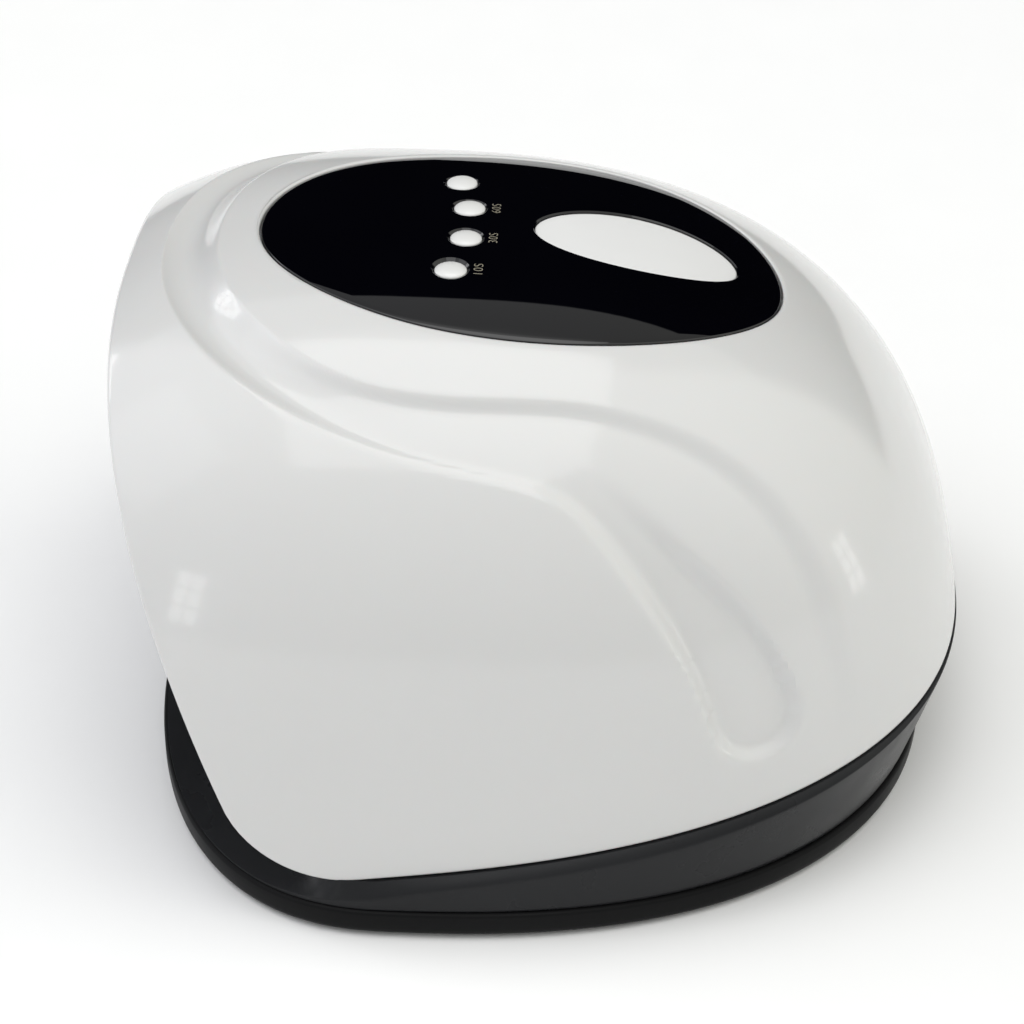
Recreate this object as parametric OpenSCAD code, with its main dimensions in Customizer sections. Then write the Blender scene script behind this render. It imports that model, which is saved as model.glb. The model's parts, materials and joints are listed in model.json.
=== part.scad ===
// Nail dryer: domed shell over a hand chamber, with lamps, a fan and a button panel on top.
// The front, with the hand opening, faces -Y. The dome's formula uses its widest section as y = 0.

/* [Shell] */
// Widest half-width of the dome
dome_half_w = 96; // [90:1:102]
// Length of the dome in front of its widest section
dome_nose = 107.5; // [100:0.5:114]
// Length of the dome behind its widest section
dome_tail = 129; // [122:1:138]
// Height of the crown over the dome's own base line
dome_rise = 117; // [112:1:124]
// Level of the dome's base line
dome_level = 4; // [2:0.5:6]
// Squareness of the dome seen from above
dome_plan_power = 2.5; // [2.3:0.05:2.8]
// Squareness of the dome seen from the side
dome_side_power = 2.67; // [2.4:0.05:2.9]
// How much rounder that section gets towards the tail
tail_ease = 0.12; // [0:0.02:0.2]
// Wall of the shell
shell_wall = 2.4; // [2:0.1:3]
// How far the mouth's foot stands in front of the widest section
mouth_foot = 22.8; // [18:0.2:25]
// Forward lean of the mouth, in degrees
mouth_lean = 20.8; // [16:0.2:25]
// Radius of the mouth's lower corners
mouth_corner_r = 26; // [12:1:34]
// Height of the shell's lower edge at the mouth
seam_front_z = 10.05; // [9.8:0.05:13]
// Rise of the shell's lower edge towards the back, in degrees
seam_rise = 9.1; // [6:0.5:11]

/* [Relief] */
// Depth of the channel in front of the panel
channel_depth = 2.6; // [0:0.1:3]
// Depth of the channel beside the panel
channel_side = 1.8; // [0:0.1:2.4]
// Extra depth of the scoop at the channel's lower end
scoop_depth = 2.4; // [0:0.1:3]
// Half-width of the scoop, in degrees round the dome
scoop_half = 6.4; // [5:0.2:8]

/* [Control panel] */
// Centre of the panel behind the widest section
panel_y = 24; // [20:1:28]
// Half-width of the panel
panel_half_w = 41.4; // [38:0.2:44]
// Half-length of the panel
panel_half_l = 58; // [55:0.5:61]
// Thickness of the panel
panel_t = 2; // [1.6:0.1:2.4]
// How far the panel lies under the shell's surface
panel_sink = 0.5; // [0.2:0.1:1]
// Clearance round the panel in its seat
panel_gap = 0.35; // [0.2:0.05:0.6]
// Width of the ledge that the panel rests on
seat_ledge = 4; // [3:0.5:5]

/* [Display] */
// Centre of the display window behind the widest section
window_y = 49; // [46:0.5:51]
// Half-width of the window
window_half_w = 12; // [10:0.5:14]
// Half-length of the window
window_half_l = 22.6; // [18:0.2:25]
// How far the window lies under the panel's surface
window_sink = 0.35; // [0.2:0.05:0.6]

/* [Buttons] */
// Radius of a button's hole
button_hole_r = 3.7; // [3.5:0.1:4.2]
// Clearance between a cap and its hole
button_gap = 0.3; // [0.2:0.05:0.5]
// Width of the chamfer round each hole
button_chamfer = 0.4; // [0.2:0.1:0.8]
// Sideways place of the inner pair
button_inner_x = 6.9; // [6:0.1:8]
// Sideways place of the outer pair
button_outer_x = 20.1; // [18.5:0.1:22]
// Place of the inner pair behind the widest section
button_inner_y = 11.8; // [9:0.1:14]
// Place of the outer pair behind the widest section
button_outer_y = 9.3; // [7:0.1:12]
// Travel of a button
button_travel = 0.8; // [0.4:0.1:1]
// Radius of a button's stem
stem_r = 1.5; // [1.2:0.1:2]
// Running clearance of a stem in its guide
stem_fit = 0.05; // [0.02:0.01:0.1]

/* [Hand chamber] */
// Room between the chamber's side and the housing's side, for the flanges and screws
chamber_side_room = 24; // [22:0.5:30]
// Height of the chamber's roof
chamber_roof_z = 76; // [70:1:80]
// Height at which the chamber's sides start to slope in
chamber_side_z = 40; // [34:1:46]
// Half-width of the chamber's flat roof
chamber_roof_half_w = 46; // [40:1:50]
// Place of the chamber's back wall behind the widest section
chamber_back_y = 80; // [72:1:82]
// Wall of the chamber's liner
liner_wall = 1.6; // [1.2:0.1:2]
// How far the fascia lies inside the mouth
fascia_inset = 12; // [8:0.5:14]
// Thickness of the fascia
fascia_t = 2; // [1.5:0.1:2.5]

/* [Lamps] */
// Radius of a lamp's lens
lens_r = 3; // [2.4:0.1:3.4]
// Clearance of a lens in its hole
lens_gap = 0.15; // [0.05:0.05:0.3]
// Rows of lamps along the chamber
lamp_rows = 5; // [3:1:5]
// Distance between the rows
lamp_pitch = 19; // [16:1:20]
// Place of the first row behind the widest section
lamp_first_y = -14; // [-16:1:-8]
// Thickness of the lamp boards
board_t = 1.2; // [1:0.1:1.6]

/* [Base] */
// Half-width of the base
base_half_w = 99.3; // [98:0.1:102]
// Length of the base in front of its centre
base_nose = 60; // [58:0.5:64]
// Length of the base behind its centre
base_tail = 121; // [119:0.5:124]
// Squareness of the base's outline
base_power = 2.36; // [2.3:0.02:2.5]
// Thickness of the feet under the tray
foot_stand = 1; // [0.6:0.1:1.6]
// Height of the tray's wall
tray_h = 6; // [5:0.5:7]
// Floor of the tray
tray_floor = 2.2; // [1.6:0.1:2.6]
// Wall of the tray
tray_wall = 2.4; // [2:0.1:3]
// Step between the tray's rim and the band above it
rim_step = 0.9; // [0.5:0.1:1.4]
// Ledge between the shell's edge and the band's side
band_ledge = 2.2; // [1:0.1:3]
// How far the sill's crest stands in front of the widest section
sill_y = 13; // [10:1:16]
// Height of the sill's crest
sill_z = 13.4; // [12:0.2:15]

/* [Fan] */
// Side of the fan's square frame
fan_w = 50; // [46:1:52]
// Depth of the fan's frame
fan_t = 12; // [10:1:14]
// Height of the fan's axis
fan_z = 40; // [36:1:42]
// Radius of the rotor
rotor_r = 22.4; // [18:0.2:22.6]
// Number of blades
blades = 7; // [5:1:9]

/* [Inlet] */
// Height of the inlet's axis
inlet_z = 20; // [19:0.5:21]
// Radius of the inlet's bore
inlet_bore_r = 3.1; // [2.8:0.1:3.4]
// Depth of the inlet's bore
inlet_bore_l = 9; // [8:0.5:10]

/* [Hidden] */
$fn = 48;

// Rows of points down the shell's wall
rows = 22;
channel_skew = 1.2;
panel_slices = 72;

white = [0.92, 0.92, 0.91];
black = [0.06, 0.06, 0.07];
satin_black = [0.13, 0.13, 0.13];
silver = [0.8, 0.81, 0.82];
board_green = [0.1, 0.33, 0.2];
steel = [0.62, 0.63, 0.65];

seat_gap = 0.2;
chamber_half_w = min(dome_half_w, base_half_w - 3.3) - chamber_side_room;
mouth_slope = tan(mouth_lean);
seam_slope = tan(seam_rise);
part_z = foot_stand + tray_h;
// All rays that shape the dome start here
eye = [0, panel_y, dome_level + 6];

// --- functions of the dome ---

function mix(a, b, t) = a + (b - a) * t;
function smooth(v, a, b) =
  let (t = min(1, max(0, (v - a) / (b - a))))
  t * t * (3 - 2 * t);
function unit(v) = v / norm(v);
// Finds where f turns from negative to positive
function root(f, lo, hi, k = 22) =
  let (mid = (lo + hi) / 2)
  k == 0 ? mid : f(mid) < 0 ? root(f, mid, hi, k - 1) : root(f, lo, mid, k - 1);
function heading(az, el = 0) = [sin(az) * cos(el), -cos(az) * cos(el), sin(el)];

function dome_len(y) = y < 0 ? dome_nose : dome_tail;
function plan_sum(x, y) =
  pow(abs(x) / dome_half_w, dome_plan_power) + pow(abs(y) / dome_len(y), dome_plan_power);
function side_power(y) = dome_side_power - tail_ease * pow(min(1, max(0, y / dome_tail)), 2);
// Negative inside the dome, positive outside
function dome(p) =
  let (power = side_power(p.y))
  pow(plan_sum(p.x, p.y), power / dome_plan_power) + pow(abs(p.z - dome_level) / dome_rise, power) - 1;
function dome_top(x, y) =
  let (power = side_power(y))
  dome_level + dome_rise * pow(1 - pow(plan_sum(x, y), power / dome_plan_power), 1 / power);
function slope_term(v, len, power) = sign(v) * pow(abs(v) / len, power - 1) / len;
function dome_normal(p) =
  let (power = side_power(p.y),
       q = pow(plan_sum(p.x, p.y), power / dome_plan_power - 1))
  unit([q * slope_term(p.x, dome_half_w, dome_plan_power),
        q * slope_term(p.y, dome_len(p.y), dome_plan_power),
        slope_term(p.z - dome_level, dome_rise, power)]);
function dome_point(az, el) =
  let (d = heading(az, el))
  eye + d * root(function (t) dome(eye + t * d), 20, 220);

// 1 on a rounded corner drawn in azimuth and elevation, which a slanted side can cut
function corner(az, el, az_end, el_end, power, slant = 0, slant_end = 1e6) =
  pow(pow(az / az_end, power) + pow(max(el, 0) / el_end, power)
      + pow((az * cos(slant) + max(el, 0) * sin(slant)) / slant_end, power), 1 / power);
// The channel lies between two such corners, and the scoop at its lower end
function relief(azimuth, el) =
  let (az = abs(azimuth),
       out = corner(az, el, 119.7, 52.5, 18, 40.4, 109.5) - 1,
       in = 1 - corner(az, el, 138.8, 58.1 + 5.7 * smooth(az, 41, 111), 5.5),
       t = in <= 0 ? 0 : out <= 0 ? 1 : in / (in + out),
       arc = channel_depth * (1 - pow(2 * pow(t, channel_skew) - 1, 2)),
       step = channel_side * smooth(in, 0, 0.03) * (1 - 0.4 * t) * smooth(out, 0, 0.025),
       channel = mix(arc, step, smooth(az, 35, 80)) * smooth(el, 10, 30),
       along = (az - 124.4 + 0.017 * pow(el - 16, 2)) / scoop_half,
       past = max(0, 22.7 - el) / scoop_half,
       wall = 0.32 + 0.45 * smooth(el, 26, 48),
       scoop = (1 - smooth(norm([along, past]), 1.06 - wall, 1.06)) * (1 - smooth(el, 36, 56)))
  channel + scoop_depth * scoop;
function skin(az, el, inside = 0) =
  let (p = dome_point(az, el))
  p - (relief(az, el) + inside) * dome_normal(p);

// Signed distance behind the mouth's plane and above the seam, with the corner rounded off
function seam_z(y) = seam_front_z + seam_slope * (y + mouth_foot);
function behind_mouth(p) = (p.y + mouth_foot) * cos(mouth_lean) + p.z * sin(mouth_lean);
function above_seam(p) = (p.z - seam_z(p.y)) * cos(seam_rise);
function edge(p) =
  let (a = behind_mouth(p), b = above_seam(p), r = mouth_corner_r)
  a < r && b < r ? r - norm([r - a, r - b]) : min(a, b);

function oval_r(az, half_w, half_l) = 1 / norm([sin(az) / half_w, cos(az) / half_l]);
function seat_r(az) = oval_r(az, panel_half_w, panel_half_l);
function on_plan(az, r) = [r * sin(az), panel_y - r * cos(az)];
function top_at(az, r) =
  let (q = on_plan(az, r))
  [q.x, q.y, dome_top(q.x, q.y)];
function seat_el(az) =
  let (r = seat_r(az), p = top_at(az, r))
  atan2(p.z - eye.z, r);
function low_el(az) = root(function (el) edge(dome_point(az, el)), -25, seat_el(az));
function seam_el(az) = root(function (el) above_seam(dome_point(az, el)), -25, seat_el(az));

// Half-width of the dome at a length and a height
function half_at(y, z) =
  root(function (x) dome([x, y, z]), 0, 2 * dome_half_w);

// Centre of the base's outline, and the tongue that stands inside the shell's lower edge
base_y = 1;
tongue_h = 4;
tongue_t = 1.8;

// The part's origin is under the middle of its length
ledge_min = 0.3;
tip = skin(0, low_el(0)).y;
tail = dome_point(180, seam_el(180)).y + ledge_min;
mid_y = -(tip + tail) / 2;

// Half a turn of slices, closest together where the channel runs down the side
half_az = concat([for (i = [0 : 19]) i * 4.5], [for (i = [0 : 21]) 90 + i * 2.5],
                 [for (i = [0 : 6]) 145 + i * 5]);
slice_az = concat([for (i = [len(half_az) - 1 : -1 : 1]) -half_az[i]], half_az, [180]);

module in_place() {
  translate([0, mid_y, 0]) children();
}

// Closed ring through a list of loops, one loop for each slice
module ring(loops) {
  n = len(loops);
  m = len(loops[0]);
  polyhedron(
    points = [for (l = loops, p = l) p],
    faces = [
      for (i = [0 : n - 1], j = [0 : m - 1])
        let (a = i * m + j, b = (i + 1) % n * m + j,
             c = (i + 1) % n * m + (j + 1) % m, d = i * m + (j + 1) % m)
        each slice_az[i] < 0 || i == n - 1 ? [[a, b, d], [b, c, d]] : [[a, b, c], [a, c, d]]
    ]
  );
}

// Oval plate that follows the dome, sunk under its surface
module dome_plate(cy, half_w, half_l, sink, t, n = panel_slices, steps = 5) {
  az = [for (i = [0 : n - 1]) i * 360 / n];
  spot = function (i, k) let (r = oval_r(az[i], half_w, half_l) * k / steps)
    [r * sin(az[i]), cy - r * cos(az[i])];
  place = function (q, down) [q.x, q.y, dome_top(q.x, q.y) - down];
  top = [for (k = [1 : steps], i = [0 : n - 1]) place(spot(i, k), sink)];
  low = [for (k = [1 : steps], i = [0 : n - 1]) place(spot(i, k), sink + t)];
  mids = [place([0, cy], sink), place([0, cy], sink + t)];
  under = len(top);
  crown = 2 * under;
  polyhedron(
    points = concat(top, low, mids),
    faces = [
      for (i = [0 : n - 1])
        let (j = (i + 1) % n, e = (steps - 1) * n)
        each [[crown, j, i], [crown + 1, under + i, under + j],
              [e + i, e + j, under + e + j], [e + i, under + e + j, under + e + i]],
      for (k = [0 : steps - 2], i = [0 : n - 1])
        let (a = k * n + i, b = k * n + (i + 1) % n, c = b + n, d = a + n)
        each [[a, b, c], [a, c, d],
              [under + a, under + c, under + b], [under + a, under + d, under + c]]
    ]
  );
}

module oval(cy, half_w, half_l, n = panel_slices) {
  polygon([for (i = [0 : n - 1])
    let (az = i * 360 / n, r = oval_r(az, half_w, half_l))
    [r * sin(az), cy - r * cos(az)]]);
}

// --- shell ---

seat_depth = panel_sink + panel_t + seat_gap;
boss_r = 4;
boss_top_z = 38;
boss_y = [-2, 56];
boss_x = [for (y = boss_y) wall_x(y) - 0.6 - boss_r];
bracket_t = 2.6;
bracket_top = part_z + bracket_t;
screw_r = 1.5;
screw_fit = 0.05;

function shell_loop(az) =
  let (hi = seat_el(az), lo = low_el(az), r = seat_r(az),
       els = [for (k = [0 : rows]) mix(hi, lo, pow(k / rows, 1.2))],
       rim = top_at(az, r), lip = top_at(az, r - seat_ledge), under = top_at(az, r + 0.5 * shell_wall))
  concat([for (k = [0 : rows]) skin(az, els[k])],
         [for (k = [rows : -1 : 2]) skin(az, els[k], shell_wall)],
         [under - [0, 0, seat_depth + shell_wall], lip - [0, 0, seat_depth + shell_wall],
          lip - [0, 0, seat_depth], rim - [0, 0, seat_depth]]);

module upper_shell() {
  color(white) in_place() difference() {
    union() {
      ring([for (az = slice_az) shell_loop(az)]);
      for (side = [-1, 1], i = [0, 1]) {
        rib_z = seam_z(boss_y[i]) + tongue_h + 2;
        rib_l = half_at(boss_y[i], boss_top_z) - shell_wall / 2 - boss_x[i];
        translate([side * boss_x[i], boss_y[i], bracket_top + seat_gap])
          cylinder(r = boss_r, h = boss_top_z - bracket_top - seat_gap);
        translate([side > 0 ? boss_x[i] : -boss_x[i] - rib_l, boss_y[i] - 1, rib_z])
          cube([rib_l, 2, boss_top_z - 1 - rib_z]);
      }
    }
    for (side = [-1, 1], i = [0, 1])
      translate([side * boss_x[i], boss_y[i], bracket_top - 1])
        cylinder(r = screw_r + screw_fit, h = 14);
  }
}

// --- control panel ---

button_xy = [[button_outer_x, button_outer_y], [button_inner_x, button_inner_y],
             [-button_inner_x, button_inner_y], [-button_outer_x, button_outer_y]];
function panel_z(q) = dome_top(q.x, q.y) - panel_sink;
board_z = 102;
board_top = board_z + 1.6;
post_x = 22;
post_y = [-8, 58];
post_xy = [for (x = [post_x, -post_x], y = post_y) [x, y]];
post_r = 3;
board_edge = 2 * post_r;
guide_z = 111.5;
guide_post_x = 31;

module control_panel() {
  color(black) in_place() difference() {
    union() {
      dome_plate(panel_y, panel_half_w - panel_gap, panel_half_l - panel_gap, panel_sink, panel_t);
      for (q = post_xy)
        translate([q.x, q.y, board_top + seat_gap])
          cylinder(r = post_r, h = panel_z(q) - panel_t / 2 - board_top - seat_gap);
    }
    for (q = button_xy) {
      translate([q.x, q.y, panel_z(q) - 10]) cylinder(r = button_hole_r, h = 20);
      translate([q.x, q.y, panel_z(q) - button_chamfer])
        cylinder(r1 = button_hole_r, r2 = button_hole_r + 2 * button_chamfer, h = 2 * button_chamfer);
    }
    translate([0, 0, panel_z([0, window_y]) - 20])
      linear_extrude(40) oval(window_y, window_half_w, window_half_l);
    for (q = post_xy)
      translate([q.x, q.y, board_top - 1]) cylinder(r = screw_r + screw_fit, h = 8);
  }
}

module display_window() {
  color([0.87, 0.88, 0.88]) in_place()
    dome_plate(window_y, window_half_w - 0.1, window_half_l - 0.1, panel_sink + window_sink,
               panel_t - window_sink + 0.3, 48, 2);
}

switch_top = board_top + 4.6;
module button(q) {
  r = button_hole_r - button_gap;
  crown = panel_z(q) + 0.1;
  flange = r + 0.9;
  under = panel_z([abs(q.x) + flange, q.y - flange]) - panel_t - 0.2;
  color(white) in_place() translate([q.x, q.y, 0]) rotate_extrude() polygon(concat(
    [[0, switch_top + button_travel + 0.1], [stem_r, switch_top + button_travel + 0.1],
     [stem_r, under - 0.9], [flange, under - 0.9], [flange, under], [r, under]],
    [for (a = [0 : 9 : 90]) [r * cos(a), crown - 1.4 + 1.4 * sin(a)]]
  ));
}
module button_10() { button(button_xy[0]); }
module button_30() { button(button_xy[1]); }
module button_60() { button(button_xy[2]); }
module button_mode() { button(button_xy[3]); }

module button_guide() {
  color(satin_black) in_place() difference() {
    union() {
      translate([-guide_post_x - 3, button_outer_y - 5, guide_z])
        cube([2 * guide_post_x + 6, 12, 1.5]);
      for (q = button_xy)
        translate([q.x, q.y, guide_z]) cylinder(r = stem_r + 1.2, h = 3.2);
      for (side = [-1, 1])
        translate([side * guide_post_x, button_outer_y + 1, guide_z])
          cylinder(r = 2, h = panel_z([guide_post_x + 2, button_outer_y - 1]) - panel_t - 0.3 - guide_z);
    }
    for (q = button_xy)
      translate([q.x, q.y, guide_z - 1]) cylinder(r = stem_r + stem_fit, h = 6);
  }
}

module control_board() {
  color(board_green) in_place() difference() {
    translate([-post_x - board_edge, post_y[0] - board_edge, board_z])
      cube([2 * (post_x + board_edge), post_y[1] - post_y[0] + 2 * board_edge, board_top - board_z]);
    for (q = post_xy)
      translate([q.x, q.y, board_z - 1]) cylinder(r = screw_r + 0.2, h = 4);
  }
}

module tact_switches() {
  color(steel) in_place() for (q = button_xy) {
    translate([q.x - 3, q.y - 3, board_top]) cube([6, 6, 3.4]);
    translate([q.x, q.y, board_top]) cylinder(r = 1.7, h = switch_top - board_top);
  }
}

module display_module() {
  low = dome_top(8, window_y + 17) - panel_sink - panel_t - 0.6;
  color(silver) in_place() translate([-8, window_y - 17, board_top])
    cube([16, 34, low - board_top]);
}

// --- hand chamber ---

// Outline of the chamber, grown outwards by g
function vault(g, foot_z) =
  let (n = unit([chamber_roof_z - chamber_side_z, chamber_half_w - chamber_roof_half_w]),
       side = [chamber_half_w + g, chamber_side_z + g * (1 - n.x) / n.y],
       roof = [chamber_roof_half_w + g * (1 - n.y) / n.x, chamber_roof_z + g])
  [[side.x, foot_z], side, roof, [-roof.x, roof.y], [-side.x, side.y], [-side.x, foot_z]];

module along_y(y0, y1) {
  translate([0, y1, 0]) rotate([90, 0, 0]) linear_extrude(y1 - y0) children();
}

// Moves into the mouth's plane: x sideways, z up the slope, y inwards
module at_mouth(inset = 0) {
  translate([0, -mouth_foot, 0]) rotate([mouth_lean, 0, 0]) translate([0, inset, 0]) children();
}

floor_z = foot_stand + tray_floor;
liner_foot_z = floor_z + seat_gap;
slope_tilt = atan2(chamber_roof_z - chamber_side_z, chamber_half_w - chamber_roof_half_w);
slope_mid = [(chamber_half_w + chamber_roof_half_w) / 2, (chamber_side_z + chamber_roof_z) / 2];
lamp_y = [for (i = [0 : lamp_rows - 1]) lamp_first_y + i * lamp_pitch];
lamp_spread = 9;

// Each lamp's place on the liner: the children's +Z points out of the chamber
module at_lamps() {
  for (y = lamp_y) {
    for (x = [-2, 0, 2])
      translate([x * lamp_spread * 1.6, y, chamber_roof_z]) children();
    for (side = [-1, 1], u = [-1, 1])
      translate([side * slope_mid.x, y, slope_mid.y])
        rotate([0, side * slope_tilt, 0]) translate([u * lamp_spread, 0, 0]) children();
  }
}

sensor_y = -27;
ear_x = chamber_half_w + liner_wall + 5;
ear_y = [boss_y[0] + 14, boss_y[1] - 14];
ear_t = 2.4;

module fan_slots() {
  for (i = [-3 : 3]) {
    w = sqrt(max(0, pow(rotor_r - 1, 2) - pow(i * 5.6, 2)));
    translate([-w, chamber_back_y - 1, fan_z + i * 5.6 - 1.6]) cube([2 * w, liner_wall + 2, 3.2]);
  }
}

sill_back = 2.7;
module inner_liner() {
  color(silver) in_place() difference() {
    union() {
      difference() {
        along_y(-mouth_foot - 60, chamber_back_y + liner_wall) polygon(vault(liner_wall, liner_foot_z));
        along_y(-mouth_foot - 61, chamber_back_y) polygon(vault(0, liner_foot_z - 1));
        at_mouth(fascia_inset + fascia_t + seat_gap - 80) translate([-150, 0, -50]) cube([300, 80, 250]);
        // The side walls' feet stop behind the sill
        translate([-150, -100, 0]) cube([300, 100 - sill_y + sill_back, sill_z + seat_gap]);
      }
      for (side = [-1, 1], y = ear_y)
        translate([side * (chamber_half_w + liner_wall + 4.5) - 5, y - 5, bracket_top + seat_gap])
          cube([10, 10, ear_t]);
    }
    at_lamps() translate([0, 0, -1]) cylinder(r = lens_r + lens_gap, h = liner_wall + 2);
    translate([0, sensor_y, chamber_roof_z - 1]) cylinder(r = 2.65, h = liner_wall + 2);
    fan_slots();
    for (side = [-1, 1], y = ear_y)
      translate([side * ear_x, y, bracket_top - 1]) cylinder(r = screw_r + screw_fit, h = 6);
    for (sx = [-1, 1], sz = [-1, 1])
      translate([sx * fan_hole, chamber_back_y - 1, fan_z + sz * fan_hole]) rotate([-90, 0, 0])
        cylinder(r = screw_r + screw_fit, h = liner_wall + 2);
  }
}

// The fascia's rim in the mouth's plane, inside the shell's wall
function plane_point(x, s, inset) =
  [x, -mouth_foot - s * sin(mouth_lean) + inset * cos(mouth_lean),
   s * cos(mouth_lean) + inset * sin(mouth_lean)];
function room(p) =
  let (v = p - eye, az = atan2(v.x, -v.y), el = atan2(v.z, norm([v.x, v.y])))
  norm(v) - norm(dome_point(az, el) - eye) + (shell_wall + 0.6 + relief(az, el)) / 0.93;
fascia_mid = 45;
function fascia_r(a) =
  min([for (inset = [fascia_inset, fascia_inset + fascia_t])
    root(function (r) room(plane_point(r * sin(a), fascia_mid + r * cos(a), inset)), 20, 120)]);

module mouth_fascia() {
  color(silver) in_place() difference() {
    intersection() {
      at_mouth(fascia_inset + fascia_t) rotate([90, 0, 0]) linear_extrude(fascia_t)
        polygon([for (i = [0 : 63])
          let (a = i * 360 / 64, r = abs(a - 180) < 66 ? 100 : fascia_r(a))
          [r * sin(a), fascia_mid + r * cos(a)]]);
      translate([-150, -150, sill_z]) cube([300, 300, 200]);
    }
    along_y(-150, 50) polygon(vault(0, -50));
  }
}

module lamp_lenses() {
  color([0.85, 0.85, 0.95]) in_place() at_lamps() rotate_extrude() polygon(concat(
    [[0, liner_wall + seat_gap / 2], [lens_r, liner_wall + seat_gap / 2]],
    [for (a = [0 : 15 : 90]) [lens_r * cos(a), -1.2 * sin(a)]]
  ));
}

lamp_len = (lamp_rows - 1) * lamp_pitch + 14;
slope_board_w = 2 * (lamp_spread + lens_r + 3);
module led_board_top() {
  color(board_green) in_place() difference() {
    translate([-chamber_roof_half_w + 6, lamp_first_y - 7, chamber_roof_z + liner_wall + seat_gap])
      cube([2 * chamber_roof_half_w - 12, lamp_len, board_t]);
  }
}
module slope_board(side) {
  color(board_green) in_place()
    translate([side * slope_mid.x, lamp_first_y - 7, slope_mid.y])
      rotate([0, side * slope_tilt, 0])
        translate([-slope_board_w / 2, 0, liner_wall + seat_gap])
          cube([slope_board_w, lamp_len, board_t]);
}
module led_board_left() { slope_board(-1); }
module led_board_right() { slope_board(1); }

module hand_sensor() {
  color(black) in_place() translate([0, sensor_y, 0]) union() {
    translate([0, 0, chamber_roof_z - 0.6]) cylinder(r = 2.5, h = liner_wall + 1);
    translate([-5, -4, chamber_roof_z + liner_wall + 0.1]) cube([10, 8, 5]);
  }
}

// --- base ---

function base_sum(p) =
  pow(abs(p.x) / base_half_w, base_power)
  + pow(abs(p.y - base_y) / (p.y < base_y ? base_nose : base_tail), base_power) - 1;
function base_r(az) =
  root(function (r) base_sum(on_plan(az, r)), 20, 2 * base_tail);
function soft_min(a, b, k) =
  let (h = max(0, k - abs(a - b)) / k)
  min(a, b) - h * h * k / 4;

function housing_loop(azimuth) =
  let (az = abs(azimuth),
       edge_pt = dome_point(azimuth, seam_el(azimuth)),
       r_seam = norm([edge_pt.x, edge_pt.y - panel_y]),
       r_sill = az < 85 ? (panel_y + sill_y) / cos(az) : 1000,
       r_top = soft_min(r_seam, r_sill, 14),
       top = on_plan(azimuth, r_top),
       z_top = max(seam_z(top.y), sill_z) - 0.3,
       r_low = base_r(azimuth) - rim_step,
       ledge = band_ledge * (1 - smooth(az, 105, 165)) + ledge_min,
       front = 1 - smooth(az, 52, 80),
       z_side = mix(part_z + 0.6, z_top - 0.9 * ledge, smooth(az, 60, 86)),
       r_side = mix(r_low, r_seam + ledge, smooth(az, 62, 140)),
       bend = mix(0.6, 2.1, front),
       up = tongue_h * smooth(az, 76, 84),
       r_in = r_top - shell_wall - 0.5,
       r_foot = min(r_in - tongue_t, r_low - 3.4),
       at = function (r, z) let (q = on_plan(azimuth, r)) [q.x, q.y, z])
  concat([at(r_foot, part_z), at(r_in - tongue_t, z_top + up), at(r_in - 0.01 - 0.2 * up, z_top + up),
          at(r_in, z_top)],
         [for (s = [1 : -0.2 : 0]) at(mix(r_side, r_top, s), mix(z_side, z_top, pow(s, bend)))],
         [at(r_low, part_z)]);

// Where the band's inner wall stands
function foot_r(az) =
  let (q = housing_loop(az)[0])
  norm([q.x, q.y - panel_y]);
function wall_x(y) =
  root(function (x) norm([x, y - panel_y]) - foot_r(atan2(x, panel_y - y)), 40, 120);
function mirrored(q) = [q, [-q.x, q.y]];

tray_screw_y = (boss_y[0] + boss_y[1]) / 2;
tray_screw_az = 144.5;
tray_screw_xy = concat(
  mirrored([(chamber_half_w + liner_wall + wall_x(tray_screw_y)) / 2, tray_screw_y]),
  mirrored(on_plan(tray_screw_az, foot_r(tray_screw_az) - 2.4)));
shelf_x = 36;
shelf_y = 94;
flange_x = chamber_half_w + liner_wall + 1;
flange_y = [boss_y[0] - 8, boss_y[1] + 8];
board_half_w = 29;
board_front_y = 95;
board_back_y = panel_y + sqrt(pow(foot_r(162), 2) - pow(board_half_w, 2)) - 1.5;
standoff_xy = [[26, 99], [-26, 99]];
power_z = inlet_z - 6.6 - 1.6;
vent_pitch = 6;

module lower_housing() {
  color(satin_black) in_place() difference() {
    union() {
      ring([for (az = slice_az) housing_loop(az)]);
      // A flange along each side and a shelf at the back
      translate([0, 0, part_z]) linear_extrude(bracket_t) intersection() {
        base_outline(rim_step + 1.2);
        union() {
          for (side = [-1, 1])
            translate([side > 0 ? flange_x : -flange_x - 40, flange_y[0]])
              square([40, flange_y[1] - flange_y[0]]);
          translate([-shelf_x, shelf_y]) square([2 * shelf_x, 40]);
        }
      }
      for (q = standoff_xy)
        translate([q.x, q.y, part_z]) cylinder(r = 3, h = power_z - part_z - seat_gap);
      for (q = tray_screw_xy)
        translate([q.x, q.y, part_z]) cylinder(r = boss_r + 0.5, h = 11);
    }
    for (side = [-1, 1], i = [0, 1]) {
      translate([side * boss_x[i], boss_y[i], part_z - 1]) cylinder(r = screw_r + 0.2, h = 6);
      translate([side * ear_x, ear_y[i], part_z - 1]) cylinder(r = screw_r + 0.2, h = 6);
    }
    for (q = tray_screw_xy)
      translate([q.x, q.y, part_z - 1]) cylinder(r = screw_r + screw_fit, h = 9);
    for (q = standoff_xy)
      translate([q.x, q.y, part_z + 1]) cylinder(r = screw_r + screw_fit, h = 12);
    translate([0, 100, inlet_z]) rotate([-90, 0, 0]) cylinder(r = inlet_r + 0.15, h = 40);
    for (side = [-1, 1], i = [0 : 4])
      translate([side * (14 + i * vent_pitch) - 1.25, 102, part_z + 7]) cube([2.5, 40, 13]);
  }
}

module base_outline(inset) {
  polygon([for (az = slice_az) on_plan(az, base_r(az) - inset)]);
}

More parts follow.
